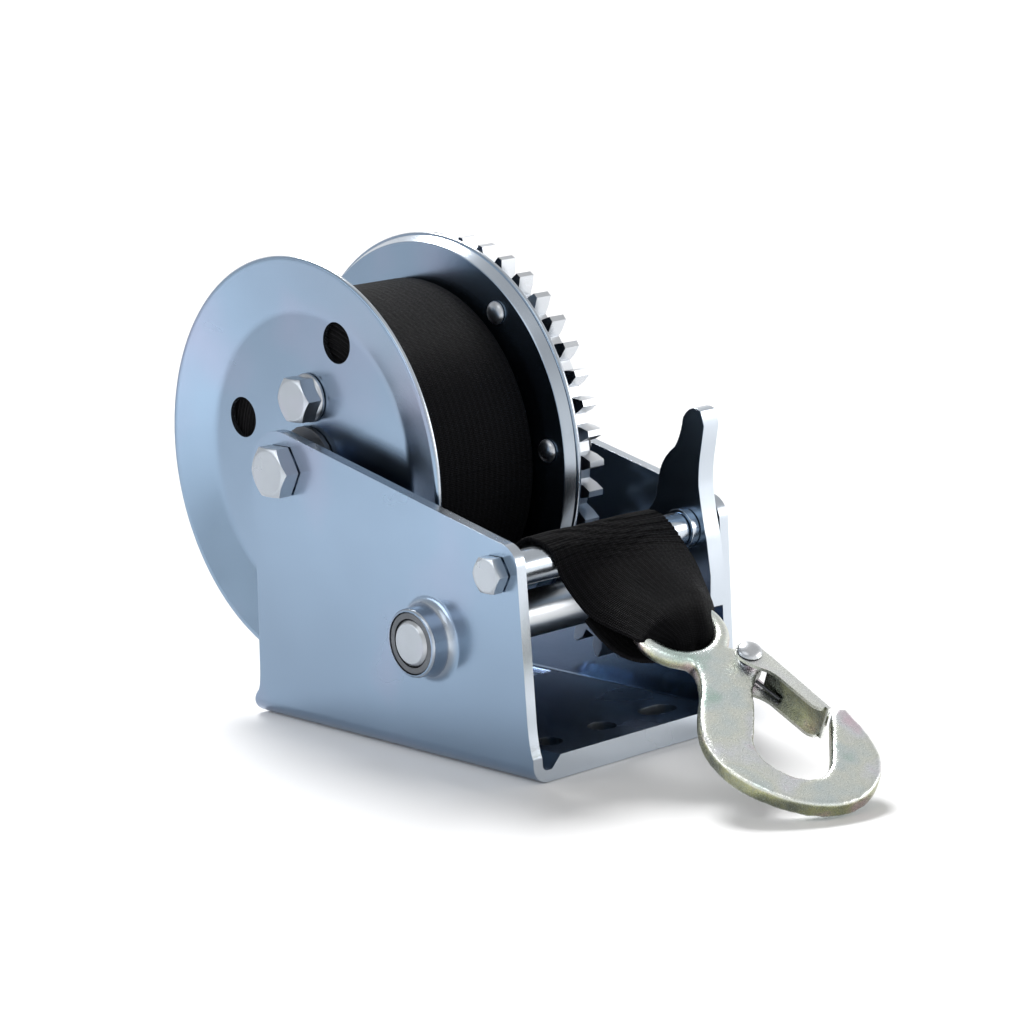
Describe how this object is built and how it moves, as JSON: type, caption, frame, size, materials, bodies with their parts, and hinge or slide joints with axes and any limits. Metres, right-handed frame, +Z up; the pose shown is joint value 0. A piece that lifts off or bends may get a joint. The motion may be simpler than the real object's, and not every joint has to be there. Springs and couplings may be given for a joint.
{
  "type": "boat trailer winch",
  "caption": "Hand-cranked strap winch for a boat trailer: bent steel frame, geared drum, pawl, crank handle and a safety hook on a webbing strap.",
  "frame": {"origin": "on the base's underside straight below the drum axle, midway between the drum flanges", "axes": "+X along the axles towards the gear and crank side, +Y away from the strap side, +Z up"},
  "size_m": [0.2164, 0.3651, 0.1647],
  "materials": {
    "zinc_plate": "bright blue-white zinc plating on smooth sheet steel",
    "fastener": "silvery zinc-plated fastener steel",
    "yellow_zinc": "yellow iridescent zinc on a granular forging",
    "dark_steel": "dark oiled steel",
    "bushing": "dark self-lubricating bushing",
    "webbing": "black woven polyester webbing",
    "grip_plastic": "black moulded plastic"
  },
  "bodies": {
    "root": {"frame": "zinc_plate", "drum_axle_bolt": "fastener", "drum_axle_washer": "fastener", "drum_axle_nut": "fastener", "axle_spacer_left": "zinc_plate", "axle_spacer_right": "zinc_plate", "tie_bolt": "fastener", "tie_spacer_tube": "zinc_plate", "pawl_spacer": "zinc_plate", "shaft_bushing_left": "bushing", "shaft_bushing_right": "bushing", "strap_tail": "webbing"},
    "drum": {"flange_left": "zinc_plate", "flange_right": "zinc_plate", "hub_tube": "dark_steel", "hub_bushing_left": "bushing", "hub_bushing_right": "bushing", "gear_spacer": "zinc_plate", "drum_gear": "zinc_plate", "gear_rivet_1": "fastener", "gear_rivet_2": "fastener", "gear_rivet_3": "fastener", "gear_rivet_4": "fastener", "gear_rivet_5": "fastener", "gear_rivet_6": "fastener", "strap_roll": "webbing", "strap_anchor_bolt": "fastener", "strap_anchor_nut": "fastener"},
    "crank": {"drive_shaft": "fastener", "pinion_gear": "fastener", "shaft_collar": "zinc_plate", "crank_washer": "fastener", "crank_nut": "fastener", "crank_arm": "zinc_plate", "grip_pin": "fastener", "grip_washer": "fastener"},
    "grip": {"crank_grip": "grip_plastic"},
    "pawl": {"pawl": "zinc_plate"},
    "hook": {"hook": "yellow_zinc", "latch_rivet": "fastener"},
    "latch": {"latch": "yellow_zinc", "latch_spring": "dark_steel"}
  },
  "joints": [
    {"name": "drum_spin", "type": "hinge", "parent": "root", "child": "drum", "pos_m": [0, 0, 0.0905], "axis": [1, 0, 0], "continuous": true},
    {"name": "crank_spin", "type": "hinge", "parent": "root", "child": "crank", "pos_m": [0, -0.075, 0.0419], "axis": [1, 0, 0], "continuous": true},
    {"name": "grip_spin", "type": "hinge", "parent": "crank", "child": "grip", "pos_m": [0.12, 0.123, 0.0143], "axis": [1, 0, 0], "continuous": true},
    {"name": "pawl_pivot", "type": "hinge", "parent": "root", "child": "pawl", "pos_m": [0.049, -0.1093, 0.0686], "axis": [1, 0, 0], "range_deg": [-12, 12]},
    {"name": "hook_swing", "type": "hinge", "parent": "root", "child": "hook", "pos_m": [0.00695, -0.13746, 0.05178], "axis": [0.9449, -0.3272, 0], "range_deg": [-70, 55]},
    {"name": "latch_hinge", "type": "hinge", "parent": "hook", "child": "latch", "pos_m": [0.01189, -0.16871, 0.03612], "axis": [0.1601, 0.4624, -0.8721], "range_deg": [0, 30], "stiffness_Nm_per_rad": 0.02, "springref_deg": -17.19}
  ],
  "couplings": [
    {"joint": "crank_spin", "follows": "drum_spin", "ratio": -3.5833}
  ]
}
